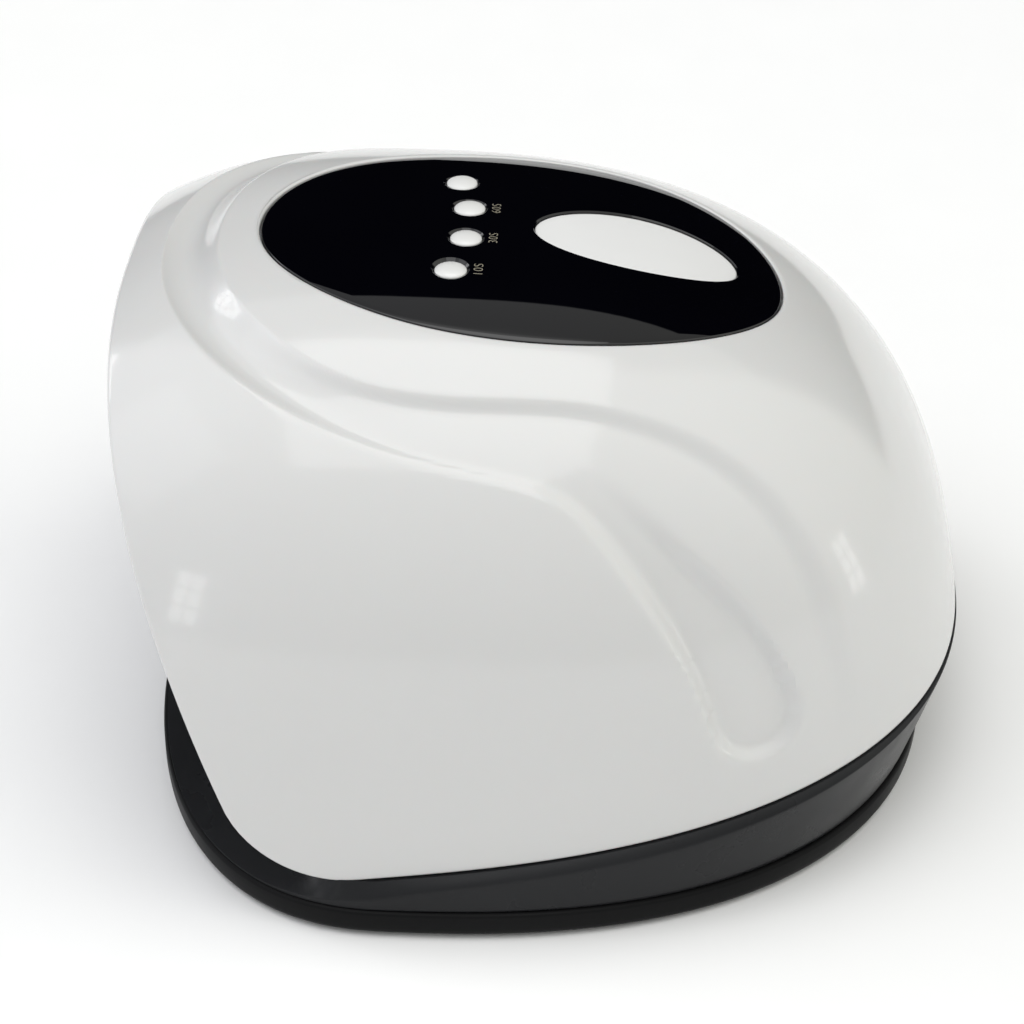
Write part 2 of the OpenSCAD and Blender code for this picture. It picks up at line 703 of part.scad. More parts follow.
foot_xy = concat(mirrored(on_plan(62, base_r(62) - 21)), mirrored(on_plan(134, base_r(134) - 14)));
foot_r = 7;
module base_tray() {
  color(satin_black) in_place() difference() {
    union() {
      difference() {
        union() {
          translate([0, 0, foot_stand]) linear_extrude(1) base_outline(1);
          translate([0, 0, foot_stand + 1]) linear_extrude(tray_h - 1.6) base_outline(0);
          translate([0, 0, part_z - 0.6]) linear_extrude(0.6) base_outline(0.4);
        }
        translate([0, 0, floor_z]) linear_extrude(tray_h) base_outline(tray_wall + 0.4);
      }
      for (q = tray_screw_xy)
        translate([q.x, q.y, foot_stand + 0.5]) cylinder(r = 5, h = part_z - foot_stand - 0.5);
    }
    for (q = tray_screw_xy) {
      translate([q.x, q.y, foot_stand - 1]) cylinder(r = screw_r + 0.2, h = 12);
      translate([q.x, q.y, foot_stand - 1]) cylinder(r = 3.1, h = 3.4);
    }
    for (q = foot_xy)
      translate([q.x, q.y, foot_stand - 1]) cylinder(r = foot_r + 0.3, h = 1.6);
  }
}

module rubber_feet() {
  color([0.08, 0.08, 0.08]) in_place() for (q = foot_xy)
    translate([q.x, q.y, 0]) {
      cylinder(r1 = foot_r - 0.6, r2 = foot_r, h = 0.6);
      translate([0, 0, 0.6]) cylinder(r = foot_r, h = foot_stand);
    }
}

// --- power and fan ---

inlet_r = 4.3;
// The band's outer wall at the back leans out from the tray to the shell
back_low = housing_loop(180)[len(housing_loop(180)) - 1];
back_high = housing_loop(180)[len(housing_loop(180)) - 2];
inlet_depth = 2.8;
inlet_face = mix(back_low.y, back_high.y, (inlet_z - back_low.z) / (back_high.z - back_low.z))
             - inlet_depth;
inlet_body_y = inlet_face - 14;
module power_board() {
  color(board_green) in_place() difference() {
    translate([-board_half_w, board_front_y, power_z])
      cube([2 * board_half_w, board_back_y - board_front_y, 1.6]);
    for (q = standoff_xy)
      translate([q.x, q.y, power_z - 1]) cylinder(r = screw_r + 0.2, h = 4);
  }
}

module inlet_jack() {
  color(black) in_place() difference() {
    union() {
      translate([-4.8, inlet_body_y, power_z + 1.6]) cube([9.6, 9, 2 * (inlet_z - power_z - 1.6)]);
      translate([0, inlet_body_y, inlet_z]) rotate([-90, 0, 0])
        cylinder(r = inlet_r, h = inlet_face - inlet_body_y);
    }
    difference() {
      translate([0, inlet_face - inlet_bore_l, inlet_z]) rotate([-90, 0, 0])
        cylinder(r = inlet_bore_r, h = inlet_bore_l + 1);
      translate([0, inlet_face - inlet_bore_l - 1, inlet_z]) rotate([-90, 0, 0])
        cylinder(r = 1, h = inlet_bore_l);
    }
  }
}

fan_hole = fan_w / 2 - 4;
fan_y = chamber_back_y + liner_wall + seat_gap;
hub_r = 9;
module fan_frame() {
  color(black) in_place() translate([0, fan_y, fan_z]) rotate([-90, 0, 0]) difference() {
    union() {
      difference() {
        translate([-fan_w / 2, -fan_w / 2, 0]) cube([fan_w, fan_w, fan_t]);
        translate([0, 0, -1]) cylinder(r = rotor_r + 0.6, h = fan_t + 2);
      }
      translate([0, 0, fan_t - 2]) cylinder(r = hub_r + 1, h = 2);
      for (a = [45, 165, 285])
        rotate(a) translate([hub_r, -1.2, fan_t - 2]) cube([rotor_r + 1.2 - hub_r, 2.4, 2]);
      translate([0, 0, fan_t - 7]) cylinder(r = 1.45, h = 7);
    }
    for (sx = [-1, 1], sz = [-1, 1])
      translate([sx * fan_hole, sz * fan_hole, -1]) cylinder(r = screw_r + 0.2, h = fan_t + 2);
  }
}

module fan_rotor() {
  color([0.16, 0.16, 0.17]) in_place() translate([0, fan_y, fan_z]) rotate([-90, 0, 0])
    difference() {
      union() {
        translate([0, 0, 0.8]) cylinder(r = hub_r, h = fan_t - 3.3);
        intersection() {
          translate([0, 0, 0.8]) cylinder(r = rotor_r, h = fan_t - 3.3);
          for (i = [0 : blades - 1])
            rotate(i * 360 / blades) translate([hub_r - 2, 0, fan_t / 2 - 0.8]) rotate([42, 0, 0])
              translate([0, -9, -0.6]) cube([rotor_r, 18, 1.2]);
        }
      }
      translate([0, 0, fan_t - 8]) cylinder(r = 1.5, h = 8);
    }
}

// --- fasteners ---

module screw(l, head_h = 1.8) {
  difference() {
    union() {
      cylinder(r = screw_r, h = l);
      translate([0, 0, -head_h]) cylinder(r = 2.7, h = head_h);
    }
    translate([0, 0, -head_h - 0.1]) cylinder(r = 1.2, h = 1.1, $fn = 6);
  }
}

module shell_screws() {
  color(steel) in_place() for (side = [-1, 1], i = [0, 1])
    translate([side * boss_x[i], boss_y[i], part_z - 0.05]) screw(12);
}
module liner_screws() {
  color(steel) in_place() for (side = [-1, 1], y = ear_y)
    translate([side * ear_x, y, part_z - 0.05]) screw(bracket_t + ear_t + 1);
}
module tray_screws() {
  color(steel) in_place() for (q = tray_screw_xy)
    translate([q.x, q.y, foot_stand + 2.35]) screw(9);
}
module board_screws() {
  color(steel) in_place() {
    for (q = post_xy)
      translate([q.x, q.y, board_z - 0.05]) screw(7);
    for (q = standoff_xy)
      translate([q.x, q.y, power_z + 1.65]) mirror([0, 0, 1]) screw(5);
  }
}
module fan_screws() {
  color(steel) in_place() for (sx = [-1, 1], sz = [-1, 1])
    translate([sx * fan_hole, fan_y + fan_t + 0.05, fan_z + sz * fan_hole]) rotate([90, 0, 0])
      screw(fan_t + liner_wall);
}

upper_shell();
control_panel();
display_window();
button_10();
button_30();
button_60();
button_mode();
button_guide();
control_board();
tact_switches();
display_module();
mouth_fascia();
inner_liner();
lamp_lenses();
led_board_top();
led_board_left();
led_board_right();
hand_sensor();
lower_housing();
base_tray();
power_board();
inlet_jack();
fan_frame();
fan_rotor();
rubber_feet();
shell_screws();
tray_screws();
liner_screws();
board_screws();
fan_screws();
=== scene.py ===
# Looks of a domed nail dryer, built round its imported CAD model.
# Shapes are worked out in millimetres, with y = 0 at the dome's widest section, as in the
# CAD model.
import json
import math

import bmesh
import bpy
import numpy as np
from mathutils import Matrix, Vector


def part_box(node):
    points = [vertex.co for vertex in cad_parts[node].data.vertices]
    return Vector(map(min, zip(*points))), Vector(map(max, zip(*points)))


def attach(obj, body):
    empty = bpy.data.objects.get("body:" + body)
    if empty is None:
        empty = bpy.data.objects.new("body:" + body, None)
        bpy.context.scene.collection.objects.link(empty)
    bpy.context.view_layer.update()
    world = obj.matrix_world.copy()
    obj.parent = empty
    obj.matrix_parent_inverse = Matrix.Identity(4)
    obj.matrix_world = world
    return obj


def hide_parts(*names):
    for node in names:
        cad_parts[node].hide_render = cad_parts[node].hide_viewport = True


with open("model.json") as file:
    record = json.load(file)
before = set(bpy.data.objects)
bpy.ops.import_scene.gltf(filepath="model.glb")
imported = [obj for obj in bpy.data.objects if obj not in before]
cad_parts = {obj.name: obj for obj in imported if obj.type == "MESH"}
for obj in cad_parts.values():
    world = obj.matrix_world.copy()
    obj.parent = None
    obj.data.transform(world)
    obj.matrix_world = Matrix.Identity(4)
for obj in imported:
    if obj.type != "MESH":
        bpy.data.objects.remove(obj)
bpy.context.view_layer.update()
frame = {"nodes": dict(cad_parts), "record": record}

MM = 0.001
HOUSING = "housing"

# --- sizes in millimetres ---
# The large forms are the CAD model's. The mouth's corner, the caps and the small edges are
# nearer the photograph.

DOME_HALF_W = 96.0
DOME_NOSE = 107.5
DOME_TAIL = 129.0
DOME_RISE = 117.0
DOME_LEVEL = 4.0
PLAN_POWER = 2.5
SIDE_POWER = 2.67
TAIL_EASE = 0.12
EYE_RISE = 6.0
SHELL_WALL = 2.4
SHELL_RIM_R = 1.0
# Rough distance from EYE to the rim
RIM_REACH = 95.0
MOUTH_FOOT = 22.8
MOUTH_LEAN = math.radians(20.8)
# The photographed corner; the CAD model's is 26
MOUTH_CORNER_R = 20.0
SEAM_FRONT_Z = 10.05
SEAM_RISE = math.radians(9.1)

# The channel runs between two rounded corners: azimuth and elevation in degrees, as seen from EYE
OUTER_AZ = 119.7
OUTER_EL = 52.5
OUTER_POWER = 18
OUTER_SLANT = 40.4
OUTER_SLANT_END = 109.5
INNER_AZ = 138.8
INNER_EL = 58.1
INNER_EL_GAIN = 5.7
INNER_POWER = 5.5
CHANNEL_DEPTH = 2.6
CHANNEL_SIDE = 1.8
CHANNEL_SKEW = 1.2
SCOOP_DEPTH = 2.4
SCOOP_HALF = 6.4
SCOOP_AZ = 124.4
SCOOP_BEND = 0.017
SCOOP_BEND_EL = 16
SCOOP_FOOT_EL = 22.7
# Reach of the scoop and width of its wall, as shares of SCOOP_HALF; the wall widens upwards
SCOOP_REACH = 1.06
SCOOP_WALL = 0.32
SCOOP_WALL_GAIN = 0.45

PANEL_Y = 24.0
PANEL_HALF_W = 41.4
PANEL_HALF_L = 58.0
PANEL_T = 2.0
PANEL_SINK = 0.5
PANEL_GAP = 0.35
PANEL_EDGE_R = 0.35
SEAT_LEDGE = 4.0
SEAT_DEPTH = PANEL_SINK + PANEL_T + 0.2
# Rounded lip of the seat: out from the panel, and down
SEAT_LIP = 1.1
SEAT_LIP_DOWN = 0.7

WINDOW_Y = 49.0
WINDOW_HALF_W = 12.0
WINDOW_HALF_L = 22.6
WINDOW_SINK = 0.5
WINDOW_GAP = 0.15
WINDOW_EDGE_R = 0.25
WINDOW_CHAMFER = 0.3

BUTTON_HOLE_R = 3.7
BUTTON_CHAMFER = 0.45
BUTTON_OUTER = (20.1, 9.3)
BUTTON_INNER = (6.9, 11.8)
CAP_R = 3.5
CAP_RISE = 0.65
CAP_CROWN = 1.05
CAP_FLANGE = 0.9
CAP_STEM = 8.0
CAP_STEM_R = 1.5
CAP_ROOM = 0.4

LABEL_SIZE = 2.898
LABEL_THIN = -0.0252
LABEL_SPACE = 1.12
LABEL_AT = (-0.3, 6.0)
LABEL_LIFT = 0.03

BASE_HALF_W = 99.3
BASE_NOSE = 60.0
BASE_TAIL = 121.0
BASE_POWER = 2.36
BASE_Y = 1.0
FOOT_STAND = 1.0
TRAY_FLOOR = 2.2
TRAY_WALL = 2.8
TRAY_TOP_Z = 7.0
RIM_STEP = 0.9
BAND_LEDGE = 2.2
LEDGE_MIN = 0.3
BAND_WALL = 1.8
SEAM_GAP = 0.3
SILL_Y = 13.0
SILL_Z = 13.4
SILL_BLEND = 14.0

VENT_FIRST = 14.0
VENT_PITCH = 6.0
VENT_COUNT = 5
VENT_HALF = 1.25
VENT_Z = (14.0, 27.0)
INLET_HOLE_R = 4.45
INLET_Z = 20.0
# The back wall's cuts start and end here
BACK_CUT_Y = (102.0, 142.0)

# --- fineness of the meshes, and the angle that makes an edge sharp ---

SLICES = 480
# Rows down the shell; the first ones make way for the seat's lip
SHELL_ROWS = 130
SHELL_ROWS_LOST = 3
SHELL_ROW_BIAS = 1.05
BACK_ROWS = 40
BACK_SHARE = 0.92
OVAL_TURNS = 160
SHARP = math.radians(32)

EYE = np.array([0.0, PANEL_Y, DOME_LEVEL + EYE_RISE])

# The panel's box is centred on PANEL_Y, which gives the shift from the dome's y to the frame's
panel_lo, panel_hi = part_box("control_panel")
MID_Y = (panel_lo.y + panel_hi.y) / 2 / MM - PANEL_Y


# --- functions of the dome ---


def smooth(v, a, b):
    t = np.clip((np.asarray(v, float) - a) / (b - a), 0.0, 1.0)
    return t * t * (3 - 2 * t)


def mix(a, b, t):
    return a + (b - a) * t


def root(f, lo, hi, steps=34):
    """Finds where f turns from negative to positive, for a whole array at once."""
    lo, hi = np.array(lo, float), np.array(hi, float)
    for _ in range(steps):
        mid = (lo + hi) / 2
        below = f(mid) < 0
        lo, hi = np.where(below, mid, lo), np.where(below, hi, mid)
    return (lo + hi) / 2


def heading(az, el):
    a, e = np.radians(az), np.radians(el)
    return np.stack([np.sin(a) * np.cos(e), -np.cos(a) * np.cos(e), np.sin(e) + 0 * a], -1)


def dome_len(y):
    return np.where(y < 0, DOME_NOSE, DOME_TAIL)


def plan_sum(x, y):
    return (np.abs(x) / DOME_HALF_W) ** PLAN_POWER + (np.abs(y) / dome_len(y)) ** PLAN_POWER


def side_power(y):
    return SIDE_POWER - TAIL_EASE * np.clip(y / DOME_TAIL, 0, 1) ** 2


def dome(p):
    """Negative inside the dome, positive outside."""
    x, y, z = p[..., 0], p[..., 1], p[..., 2]
    power = side_power(y)
    rise = (np.abs(z - DOME_LEVEL) / DOME_RISE) ** power
    return plan_sum(x, y) ** (power / PLAN_POWER) + rise - 1


def dome_top(x, y):
    power = side_power(y)
    left = np.maximum(0.0, 1 - plan_sum(x, y) ** (power / PLAN_POWER))
    return DOME_LEVEL + DOME_RISE * left ** (1 / power)


def unit(v):
    return v / np.linalg.norm(v, axis=-1, keepdims=True)


def dome_normal(p):
    x, y, z = p[..., 0], p[..., 1], p[..., 2]

    def term(v, size, power):
        return np.sign(v) * (np.abs(v) / size) ** (power - 1) / size

    power = side_power(y)
    q = plan_sum(x, y) ** (power / PLAN_POWER - 1)
    return unit(np.stack([q * term(x, DOME_HALF_W, PLAN_POWER),
                          q * term(y, dome_len(y), PLAN_POWER),
                          term(z - DOME_LEVEL, DOME_RISE, power)], -1))


def dome_point(az, el):
    d = heading(az, el)
    far = root(lambda t: dome(EYE + t[..., None] * d), np.full(d.shape[:-1], 20.0),
               np.full(d.shape[:-1], 220.0))
    return EYE + far[..., None] * d


def corner(az, el, az_end, el_end, power, slant=0.0, slant_end=1e6):
    """1 on a rounded corner drawn in azimuth and elevation, with a slanted side cutting it."""
    e = np.maximum(el, 0)
    across = (az * np.cos(np.radians(slant)) + e * np.sin(np.radians(slant))) / slant_end
    return ((az / az_end) ** power + (e / el_end) ** power + across ** power) ** (1 / power)


def relief(azimuth, el):
    """Depth of the channel round the panel, and of the scoop at its lower end."""
    az = np.abs(azimuth)
    out = corner(az, el, OUTER_AZ, OUTER_EL, OUTER_POWER, OUTER_SLANT, OUTER_SLANT_END) - 1
    inner_el = INNER_EL + INNER_EL_GAIN * smooth(az, 41, 111)
    inner = 1 - corner(az, el, INNER_AZ, inner_el, INNER_POWER)
    both = np.maximum(inner, 0) + np.maximum(out, 0)
    t = np.where(inner <= 0, 0.0, np.where(out <= 0, 1.0, inner / np.maximum(both, 1e-9)))
    arc = CHANNEL_DEPTH * (1 - (2 * t ** CHANNEL_SKEW - 1) ** 2)
    step = CHANNEL_SIDE * smooth(inner, 0, 0.03) * (1 - 0.4 * t) * smooth(out, 0, 0.025)
    channel = mix(arc, step, smooth(az, 35, 80)) * smooth(el, 10, 30)
    along = (az - SCOOP_AZ + SCOOP_BEND * (el - SCOOP_BEND_EL) ** 2) / SCOOP_HALF
    past = np.maximum(0, SCOOP_FOOT_EL - el) / SCOOP_HALF
    wall = SCOOP_WALL + SCOOP_WALL_GAIN * smooth(el, 26, 48)
    scoop = 1 - smooth(np.hypot(along, past), SCOOP_REACH - wall, SCOOP_REACH)
    scoop = scoop * (1 - smooth(el, 36, 56))
    return channel + SCOOP_DEPTH * scoop


def skin(az, el, inside=0.0):
    p = dome_point(az, el)
    return p - (relief(az, el) + inside)[..., None] * dome_normal(p)


def seam_z(y):
    return SEAM_FRONT_Z + math.tan(SEAM_RISE) * (y + MOUTH_FOOT)


def above_seam(p):
    return (p[..., 2] - seam_z(p[..., 1])) * math.cos(SEAM_RISE)


def edge(p):
    """Signed distance inside the shell's rim: the mouth and the seam, with a rounded corner."""
    a = (p[..., 1] + MOUTH_FOOT) * math.cos(MOUTH_LEAN) + p[..., 2] * math.sin(MOUTH_LEAN)
    b = above_seam(p)
    r = MOUTH_CORNER_R
    rounded = r - np.hypot(r - a, r - b)
    return np.where((a < r) & (b < r), rounded, np.minimum(a, b))


def oval_r(az, half_w, half_l):
    a = np.radians(az)
    return 1 / np.hypot(np.sin(a) / half_w, np.cos(a) / half_l)


def all_round(count=SLICES):
    return np.arange(count) * 360.0 / count


def on_plan(az, r, cy=PANEL_Y):
    a = np.radians(az)
    return r * np.sin(a), cy - r * np.cos(a)


def top_at(az, r, down=0.0):
    x, y = on_plan(az, r)
    return np.stack([x, y, dome_top(x, y) - down], -1)


def panel_z(x, y):
    return float(dome_top(x, y)) - PANEL_SINK


def seat_el(az):
    r = oval_r(az, PANEL_HALF_W, PANEL_HALF_L)
    return np.degrees(np.arctan2(top_at(az, r)[..., 2] - EYE[2], r))


def rim_el(az, f):
    return root(lambda el: f(dome_point(az, el)), np.full(az.shape, -25.0), seat_el(az))


def base_r(az):
    def outside(r):
        x, y = on_plan(az, r)
        long = np.where(y < BASE_Y, BASE_NOSE, BASE_TAIL)
        return ((np.abs(x) / BASE_HALF_W) ** BASE_POWER
                + (np.abs(y - BASE_Y) / long) ** BASE_POWER - 1)

    return root(outside, np.full(az.shape, 20.0), np.full(az.shape, 2 * BASE_TAIL))


# --- meshes ---


def to_frame(p):
    return (np.asarray(p, float) + np.array([0.0, MID_Y, 0.0])) * MM


def add_mesh(name, points, faces, body=HOUSING):
    mesh = bpy.data.meshes.new(name)
    mesh.from_pydata([tuple(p) for p in to_frame(points)], [], [tuple(map(int, f)) for f in faces])
    mesh.validate()
    obj = bpy.data.objects.new(name, mesh)
    bpy.context.scene.collection.objects.link(obj)
    bm = bmesh.new()
    bm.from_mesh(mesh)
    bmesh.ops.recalc_face_normals(bm, faces=bm.faces)
    bm.to_mesh(mesh)
    bm.free()
    smoothen(mesh)
    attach(obj, body)
    return obj


def smoothen(mesh):
    mesh.shade_smooth()
    mesh.set_sharp_from_angle(angle=SHARP)


def ring_faces(n, m, close=True):
    """Quads of n loops of m points; the last loop joins the first, and so do closed loops' ends."""
    faces = []
    for i in range(n):
        k = (i + 1) % n
        for j in range(m if close else m - 1):
            nxt = (j + 1) % m
            faces.append((i * m + j, k * m + j, k * m + nxt, i * m + nxt))
    return faces


def capped_rows(rows, turns):
    """Faces of a stack of rows between a first and a last point that close it."""
    faces = [(0, 1 + i, 1 + (i + 1) % turns) for i in range(turns)]
    for k in range(rows - 1):
        a, b = 1 + k * turns, 1 + (k + 1) * turns
        for i in range(turns):
            j = (i + 1) % turns
            faces.append((a + i, b + i, b + j, a + j))
    last, end = 1 + rows * turns, 1 + (rows - 1) * turns
    faces += [(last, end + (i + 1) % turns, end + i) for i in range(turns)]
    return faces


def prism_faces(rims, turns):
    """Faces of a stack of rims closed by its first and last rim."""
    faces = [tuple(range(turns)), tuple(range((rims - 1) * turns, rims * turns))]
    for k in range(rims - 1):
        a, b = k * turns, (k + 1) * turns
        faces += [(a + i, a + (i + 1) % turns, b + (i + 1) % turns, b + i) for i in range(turns)]
    return faces


def ring(name, loops):
    n, m = loops.shape[:2]
    return add_mesh(name, loops.reshape(-1, 3), ring_faces(n, m))


def soften(loops, rounds=2, share=0.25):
    """Cuts each closed loop's corners, so that its edges are rounded."""
    for _ in range(rounds):
        after = np.roll(loops, -1, axis=1)
        cut = np.stack([mix(loops, after, share), mix(loops, after, 1 - share)], 2)
        loops = cut.reshape(loops.shape[0], -1, 3)
    return loops


def oval_plate(name, cy, half_w, half_l, sink, t, edge_r, rings=28):
    """Oval plate that follows the dome, with a rounded top edge."""
    az = all_round(OVAL_TURNS)
    middle_z = float(dome_top(0.0, cy)) - sink

    def row(share, down):
        x, y = on_plan(az, oval_r(az, half_w, half_l) * share, cy)
        return np.stack([x, y, dome_top(x, y) - down], -1)

    rows = [row(k / rings * (1 - edge_r / half_w), sink) for k in range(1, rings + 1)]
    for a in np.radians([22.5, 45, 67.5, 90]):
        share = 1 - edge_r * (1 - math.sin(a)) / half_w
        rows.append(row(share, sink + edge_r * (1 - math.cos(a))))
    rows += [row(1.0, sink + t), row(0.5, sink + t)]
    points = np.concatenate([[[0, cy, middle_z]]] + rows + [[[0, cy, middle_z - t]]])
    return add_mesh(name, points, capped_rows(len(rows), OVAL_TURNS))


def cut(obj, tools):
    """Cuts tools out of obj, and removes them."""
    for tool in tools:
        change = obj.modifiers.new("cut", "BOOLEAN")
        change.operation = "DIFFERENCE"
        change.solver = "EXACT"
        change.object = tool
    bpy.context.view_layer.update()
    depsgraph = bpy.context.evaluated_depsgraph_get()
    mesh = bpy.data.meshes.new_from_object(obj.evaluated_get(depsgraph))
    obj.modifiers.clear()
    obj.data = mesh
    for tool in tools:
        bpy.data.objects.remove(tool)
    smoothen(mesh)


def lathe(name, profile, at, turns=64, **more):
    """Solid of revolution about a vertical line; the profile's ends lie on the axis."""
    points = [[at[0], at[1], profile[0][1]]]
    for r, z in profile[1:-1]:
        points += [[at[0] + r * math.cos(a), at[1] + r * math.sin(a), z]
                   for a in np.radians(all_round(turns))]
    points.append([at[0], at[1], profile[-1][1]])
    return add_mesh(name, points, capped_rows(len(profile) - 2, turns), **more)


def block(lo, hi):
    points = [(x, y, z) for x in (lo[0], hi[0]) for y in (lo[1], hi[1]) for z in (lo[2], hi[2])]
    return add_mesh("block", points, [(0, 1, 3, 2), (4, 6, 7, 5), (0, 4, 5, 1), (2, 3, 7, 6),
                                      (0, 2, 6, 4), (1, 5, 7, 3)])


def bar(r, y_lo, y_hi, z, turns=48):
    """Round bar that lies along y."""
    a = np.radians(all_round(turns))
    rims = [np.stack([r * np.cos(a), np.full_like(a, y), z + r * np.sin(a)], -1)
            for y in (y_lo, y_hi)]
    return add_mesh("bar", np.concatenate(rims), prism_faces(2, turns))


# --- shell ---


def shell_mesh():
    az = all_round() - 180
    top, low = seat_el(az), rim_el(az, edge)
    roll = math.degrees(SHELL_RIM_R / RIM_REACH)
    share = (np.linspace(0, 1, SHELL_ROWS) ** SHELL_ROW_BIAS)[None, :]
    el = mix(top[:, None], (low + roll)[:, None], share)
    grid_az = np.broadcast_to(az[:, None], el.shape)
    outer = skin(grid_az, el, np.zeros_like(el))[:, SHELL_ROWS_LOST:]
    turns = np.radians([18, 36, 54, 72, 90])
    lip_el = low[:, None] + roll * (1 - np.sin(turns))[None, :]
    lip_az = np.broadcast_to(az[:, None], lip_el.shape)
    lip = skin(lip_az, lip_el, np.broadcast_to(SHELL_RIM_R * (1 - np.cos(turns)), lip_el.shape))
    back_el = mix(low[:, None], top[:, None], np.linspace(0, BACK_SHARE, BACK_ROWS)[None, :])
    back_az = np.broadcast_to(az[:, None], back_el.shape)
    back = skin(back_az, back_el, np.full_like(back_el, SHELL_WALL))
    r = oval_r(az, PANEL_HALF_W, PANEL_HALF_L)
    wall = SHELL_WALL
    seat = [top_at(az, r + 0.5 * wall, SEAT_DEPTH + wall),
            top_at(az, r - SEAT_LEDGE, SEAT_DEPTH + wall),
            top_at(az, r - SEAT_LEDGE, SEAT_DEPTH),
            top_at(az, r, SEAT_DEPTH),
            top_at(az, r, SEAT_LIP_DOWN)]
    for turn in turns:
        seat.append(top_at(az, r + SEAT_LIP * (1 - math.cos(turn)),
                           SEAT_LIP_DOWN * (1 - math.sin(turn))))
    loops = np.concatenate([outer, lip, back, np.stack(seat, 1)], axis=1)
    return ring("shell_skin", loops)


# --- base ---


def band_mesh():
    az = all_round() - 180
    side = np.abs(az)
    seam = dome_point(az, rim_el(az, above_seam))
    r_seam = np.hypot(seam[:, 0], seam[:, 1] - PANEL_Y)
    ahead = np.maximum(np.cos(np.radians(az)), 1e-3)
    r_sill = np.where(side < 85, (PANEL_Y + SILL_Y) / ahead, 1000)
    near = np.maximum(0, SILL_BLEND - np.abs(r_seam - r_sill)) / SILL_BLEND
    r_top = np.minimum(r_seam, r_sill) - near * near * SILL_BLEND / 4
    top_y = on_plan(az, r_top)[1]
    z_top = np.maximum(seam_z(top_y), SILL_Z) - SEAM_GAP
    r_low = base_r(az) - RIM_STEP
    ledge = BAND_LEDGE * (1 - smooth(side, 105, 165)) + LEDGE_MIN
    front = 1 - smooth(side, 52, 80)
    z_side = mix(TRAY_TOP_Z + 0.6, z_top - 0.9 * ledge, smooth(side, 60, 86))
    r_side = mix(r_low, r_seam + ledge, smooth(side, 62, 140))
    bend = mix(0.6, 2.1, front)
    r_in = r_top - SHELL_WALL - 0.5
    r_foot = np.minimum(r_in - BAND_WALL, r_low - 3.4)

    def at(r, z):
        x, y = on_plan(az, r)
        return np.stack([x, y, z + 0 * x], -1)

    loop = [at(r_foot, TRAY_TOP_Z), at(r_in - BAND_WALL, z_top), at(r_in, z_top)]
    for s in np.linspace(1, 0, 20):
        loop.append(at(mix(r_side, r_top, s), mix(z_side, z_top, s ** bend)))
    for s in (0.25, 0.5, 0.75, 0.94):
        loop.append(at(mix(r_side, r_low, s), mix(z_side, TRAY_TOP_Z, s)))
    loop.append(at(r_low - 0.35, TRAY_TOP_Z))
    return ring("band_skin", soften(np.stack(loop, 1), 2, 0.2))


def tray_mesh():
    az = all_round() - 180
    r = base_r(az)

    def at(inset, z):
        x, y = on_plan(az, r - inset)
        return np.stack([x, y, z + 0 * x], -1)

    floor_z = FOOT_STAND + TRAY_FLOOR
    top = TRAY_TOP_Z
    loop = [at(TRAY_WALL, floor_z), at(TRAY_WALL, top), at(1.5, top), at(0.9, top - 0.04),
            at(0.4, top - 0.2), at(0.1, top - 0.5), at(0, top - 0.9), at(0, 4.2), at(0, 2.9),
            at(0.08, 2.2), at(0.4, 1.5), at(1.0, FOOT_STAND), at(3, FOOT_STAND), at(9, FOOT_STAND)]
    loops = np.stack(loop, 1)
    n, m = loops.shape[:2]
    inner = np.array([[0, PANEL_Y, FOOT_STAND], [0, PANEL_Y, floor_z]])
    points = np.concatenate([loops.reshape(-1, 3), inner])
    faces = ring_faces(n, m, close=False)
    for i in range(n):
        k = (i + 1) % n
        faces.append((i * m + m - 1, k * m + m - 1, n * m))
        faces.append((k * m, i * m, n * m + 1))
    return add_mesh("tray_skin", points, faces)


# --- materials ---


def node(tree, kind, **inputs):
    n = tree.nodes.new(kind)
    for key, value in inputs.items():
        n.inputs[key.replace("_", " ")].default_value = value
    return n


